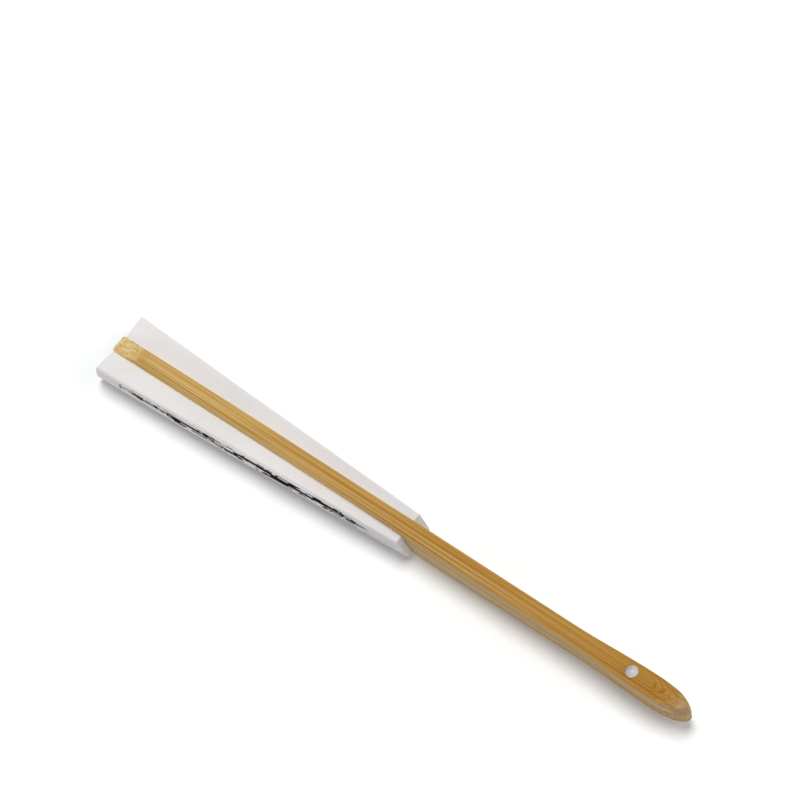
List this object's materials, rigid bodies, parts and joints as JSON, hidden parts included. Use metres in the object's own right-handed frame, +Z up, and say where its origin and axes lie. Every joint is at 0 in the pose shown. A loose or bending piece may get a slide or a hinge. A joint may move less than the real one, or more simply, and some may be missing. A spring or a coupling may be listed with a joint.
{
  "type": "folding fan",
  "caption": "Closed folding hand fan: bamboo guards and ribs on a rivet carry a pleated white paper leaf, and the sticks swing round the rivet to spread it.",
  "frame": {"origin": "middle of the closed fan's length and width, level with the rear guard's outer face that the fan lies on", "axes": "+X from the rounded nose to the leaf's tip, +Z up through the stack of sticks to the front guard, +Y to the side that the front guard swings to"},
  "size_m": [0.228, 0.0208, 0.0154],
  "materials": {
    "guard_bamboo": "satin, lengthwise fibre",
    "rib_bamboo": "bare cut bamboo",
    "leaf_paper": "matt white paper with ink strokes",
    "rivet_plastic": "off-white, satin gloss"
  },
  "bodies": {
    "rear_guard": {"rear_guard": "guard_bamboo", "leaf_panel_00": "leaf_paper", "rivet_pin": "rivet_plastic", "rivet_cap": "rivet_plastic"},
    "rib_01": {"rib_01": "rib_bamboo", "leaf_panel_01": "leaf_paper"},
    "rib_02": {"rib_02": "rib_bamboo", "leaf_panel_02": "leaf_paper"},
    "rib_03": {"rib_03": "rib_bamboo", "leaf_panel_03": "leaf_paper"},
    "rib_04": {"rib_04": "rib_bamboo", "leaf_panel_04": "leaf_paper"},
    "rib_05": {"rib_05": "rib_bamboo", "leaf_panel_05": "leaf_paper"},
    "rib_06": {"rib_06": "rib_bamboo", "leaf_panel_06": "leaf_paper"},
    "rib_07": {"rib_07": "rib_bamboo", "leaf_panel_07": "leaf_paper"},
    "rib_08": {"rib_08": "rib_bamboo", "leaf_panel_08": "leaf_paper"},
    "rib_09": {"rib_09": "rib_bamboo", "leaf_panel_09": "leaf_paper"},
    "rib_10": {"rib_10": "rib_bamboo", "leaf_panel_10": "leaf_paper"},
    "rib_11": {"rib_11": "rib_bamboo", "leaf_panel_11": "leaf_paper"},
    "rib_12": {"rib_12": "rib_bamboo", "leaf_panel_12": "leaf_paper"},
    "front_guard": {"front_guard": "guard_bamboo", "leaf_panel_13": "leaf_paper"},
    "leaf_fold_00": {"leaf_fold_00": "leaf_paper"},
    "leaf_fold_01": {"leaf_fold_01": "leaf_paper"},
    "leaf_fold_02": {"leaf_fold_02": "leaf_paper"},
    "leaf_fold_03": {"leaf_fold_03": "leaf_paper"},
    "leaf_fold_04": {"leaf_fold_04": "leaf_paper"},
    "leaf_fold_05": {"leaf_fold_05": "leaf_paper"},
    "leaf_fold_06": {"leaf_fold_06": "leaf_paper"},
    "leaf_fold_07": {"leaf_fold_07": "leaf_paper"},
    "leaf_fold_08": {"leaf_fold_08": "leaf_paper"},
    "leaf_fold_09": {"leaf_fold_09": "leaf_paper"},
    "leaf_fold_10": {"leaf_fold_10": "leaf_paper"},
    "leaf_fold_11": {"leaf_fold_11": "leaf_paper"},
    "leaf_fold_12": {"leaf_fold_12": "leaf_paper"}
  },
  "joints": [
    {"name": "rib_01_turn", "type": "hinge", "parent": "rear_guard", "child": "rib_01", "pos_m": [-0.097, 0, 0.008], "axis": [0, 0, 1], "range_deg": [0, 11.2]},
    {"name": "rib_02_turn", "type": "hinge", "parent": "rib_01", "child": "rib_02", "pos_m": [-0.097, 0, 0.008], "axis": [0, 0, 1], "range_deg": [0, 11.2]},
    {"name": "rib_03_turn", "type": "hinge", "parent": "rib_02", "child": "rib_03", "pos_m": [-0.097, 0, 0.008], "axis": [0, 0, 1], "range_deg": [0, 11.2]},
    {"name": "rib_04_turn", "type": "hinge", "parent": "rib_03", "child": "rib_04", "pos_m": [-0.097, 0, 0.008], "axis": [0, 0, 1], "range_deg": [0, 11.2]},
    {"name": "rib_05_turn", "type": "hinge", "parent": "rib_04", "child": "rib_05", "pos_m": [-0.097, 0, 0.008], "axis": [0, 0, 1], "range_deg": [0, 11.2]},
    {"name": "rib_06_turn", "type": "hinge", "parent": "rib_05", "child": "rib_06", "pos_m": [-0.097, 0, 0.008], "axis": [0, 0, 1], "range_deg": [0, 11.2]},
    {"name": "rib_07_turn", "type": "hinge", "parent": "rib_06", "child": "rib_07", "pos_m": [-0.097, 0, 0.008], "axis": [0, 0, 1], "range_deg": [0, 11.2]},
    {"name": "rib_08_turn", "type": "hinge", "parent": "rib_07", "child": "rib_08", "pos_m": [-0.097, 0, 0.008], "axis": [0, 0, 1], "range_deg": [0, 11.2]},
    {"name": "rib_09_turn", "type": "hinge", "parent": "rib_08", "child": "rib_09", "pos_m": [-0.097, 0, 0.008], "axis": [0, 0, 1], "range_deg": [0, 11.2]},
    {"name": "rib_10_turn", "type": "hinge", "parent": "rib_09", "child": "rib_10", "pos_m": [-0.097, 0, 0.008], "axis": [0, 0, 1], "range_deg": [0, 11.2]},
    {"name": "rib_11_turn", "type": "hinge", "parent": "rib_10", "child": "rib_11", "pos_m": [-0.097, 0, 0.008], "axis": [0, 0, 1], "range_deg": [0, 11.2]},
    {"name": "rib_12_turn", "type": "hinge", "parent": "rib_11", "child": "rib_12", "pos_m": [-0.097, 0, 0.008], "axis": [0, 0, 1], "range_deg": [0, 11.2]},
    {"name": "front_guard_turn", "type": "hinge", "parent": "rib_12", "child": "front_guard", "pos_m": [-0.097, 0, 0.008], "axis": [0, 0, 1], "range_deg": [0, 11.2]},
    {"name": "leaf_fold_00_turn", "type": "hinge", "parent": "rear_guard", "child": "leaf_fold_00", "pos_m": [-0.097, 0, 0.008], "axis": [0, 0, 1], "range_deg": [0, 5.6]},
    {"name": "leaf_fold_01_turn", "type": "hinge", "parent": "rib_01", "child": "leaf_fold_01", "pos_m": [-0.097, 0, 0.008], "axis": [0, 0, 1], "range_deg": [0, 5.6]},
    {"name": "leaf_fold_02_turn", "type": "hinge", "parent": "rib_02", "child": "leaf_fold_02", "pos_m": [-0.097, 0, 0.008], "axis": [0, 0, 1], "range_deg": [0, 5.6]},
    {"name": "leaf_fold_03_turn", "type": "hinge", "parent": "rib_03", "child": "leaf_fold_03", "pos_m": [-0.097, 0, 0.008], "axis": [0, 0, 1], "range_deg": [0, 5.6]},
    {"name": "leaf_fold_04_turn", "type": "hinge", "parent": "rib_04", "child": "leaf_fold_04", "pos_m": [-0.097, 0, 0.008], "axis": [0, 0, 1], "range_deg": [0, 5.6]},
    {"name": "leaf_fold_05_turn", "type": "hinge", "parent": "rib_05", "child": "leaf_fold_05", "pos_m": [-0.097, 0, 0.008], "axis": [0, 0, 1], "range_deg": [0, 5.6]},
    {"name": "leaf_fold_06_turn", "type": "hinge", "parent": "rib_06", "child": "leaf_fold_06", "pos_m": [-0.097, 0, 0.008], "axis": [0, 0, 1], "range_deg": [0, 5.6]},
    {"name": "leaf_fold_07_turn", "type": "hinge", "parent": "rib_07", "child": "leaf_fold_07", "pos_m": [-0.097, 0, 0.008], "axis": [0, 0, 1], "range_deg": [0, 5.6]},
    {"name": "leaf_fold_08_turn", "type": "hinge", "parent": "rib_08", "child": "leaf_fold_08", "pos_m": [-0.097, 0, 0.008], "axis": [0, 0, 1], "range_deg": [0, 5.6]},
    {"name": "leaf_fold_09_turn", "type": "hinge", "parent": "rib_09", "child": "leaf_fold_09", "pos_m": [-0.097, 0, 0.008], "axis": [0, 0, 1], "range_deg": [0, 5.6]},
    {"name": "leaf_fold_10_turn", "type": "hinge", "parent": "rib_10", "child": "leaf_fold_10", "pos_m": [-0.097, 0, 0.008], "axis": [0, 0, 1], "range_deg": [0, 5.6]},
    {"name": "leaf_fold_11_turn", "type": "hinge", "parent": "rib_11", "child": "leaf_fold_11", "pos_m": [-0.097, 0, 0.008], "axis": [0, 0, 1], "range_deg": [0, 5.6]},
    {"name": "leaf_fold_12_turn", "type": "hinge", "parent": "rib_12", "child": "leaf_fold_12", "pos_m": [-0.097, 0, 0.008], "axis": [0, 0, 1], "range_deg": [0, 5.6]}
  ],
  "couplings": [
    {"joint": "rib_02_turn", "follows": "rib_01_turn", "ratio": 1},
    {"joint": "rib_03_turn", "follows": "rib_01_turn", "ratio": 1},
    {"joint": "rib_04_turn", "follows": "rib_01_turn", "ratio": 1},
    {"joint": "rib_05_turn", "follows": "rib_01_turn", "ratio": 1},
    {"joint": "rib_06_turn", "follows": "rib_01_turn", "ratio": 1},
    {"joint": "rib_07_turn", "follows": "rib_01_turn", "ratio": 1},
    {"joint": "rib_08_turn", "follows": "rib_01_turn", "ratio": 1},
    {"joint": "rib_09_turn", "follows": "rib_01_turn", "ratio": 1},
    {"joint": "rib_10_turn", "follows": "rib_01_turn", "ratio": 1},
    {"joint": "rib_11_turn", "follows": "rib_01_turn", "ratio": 1},
    {"joint": "rib_12_turn", "follows": "rib_01_turn", "ratio": 1},
    {"joint": "front_guard_turn", "follows": "rib_01_turn", "ratio": 1},
    {"joint": "leaf_fold_00_turn", "follows": "rib_01_turn", "ratio": 0.5},
    {"joint": "leaf_fold_01_turn", "follows": "rib_01_turn", "ratio": 0.5},
    {"joint": "leaf_fold_02_turn", "follows": "rib_01_turn", "ratio": 0.5},
    {"joint": "leaf_fold_03_turn", "follows": "rib_01_turn", "ratio": 0.5},
    {"joint": "leaf_fold_04_turn", "follows": "rib_01_turn", "ratio": 0.5},
    {"joint": "leaf_fold_05_turn", "follows": "rib_01_turn", "ratio": 0.5},
    {"joint": "leaf_fold_06_turn", "follows": "rib_01_turn", "ratio": 0.5},
    {"joint": "leaf_fold_07_turn", "follows": "rib_01_turn", "ratio": 0.5},
    {"joint": "leaf_fold_08_turn", "follows": "rib_01_turn", "ratio": 0.5},
    {"joint": "leaf_fold_09_turn", "follows": "rib_01_turn", "ratio": 0.5},
    {"joint": "leaf_fold_10_turn", "follows": "rib_01_turn", "ratio": 0.5},
    {"joint": "leaf_fold_11_turn", "follows": "rib_01_turn", "ratio": 0.5},
    {"joint": "leaf_fold_12_turn", "follows": "rib_01_turn", "ratio": 0.5}
  ]
}
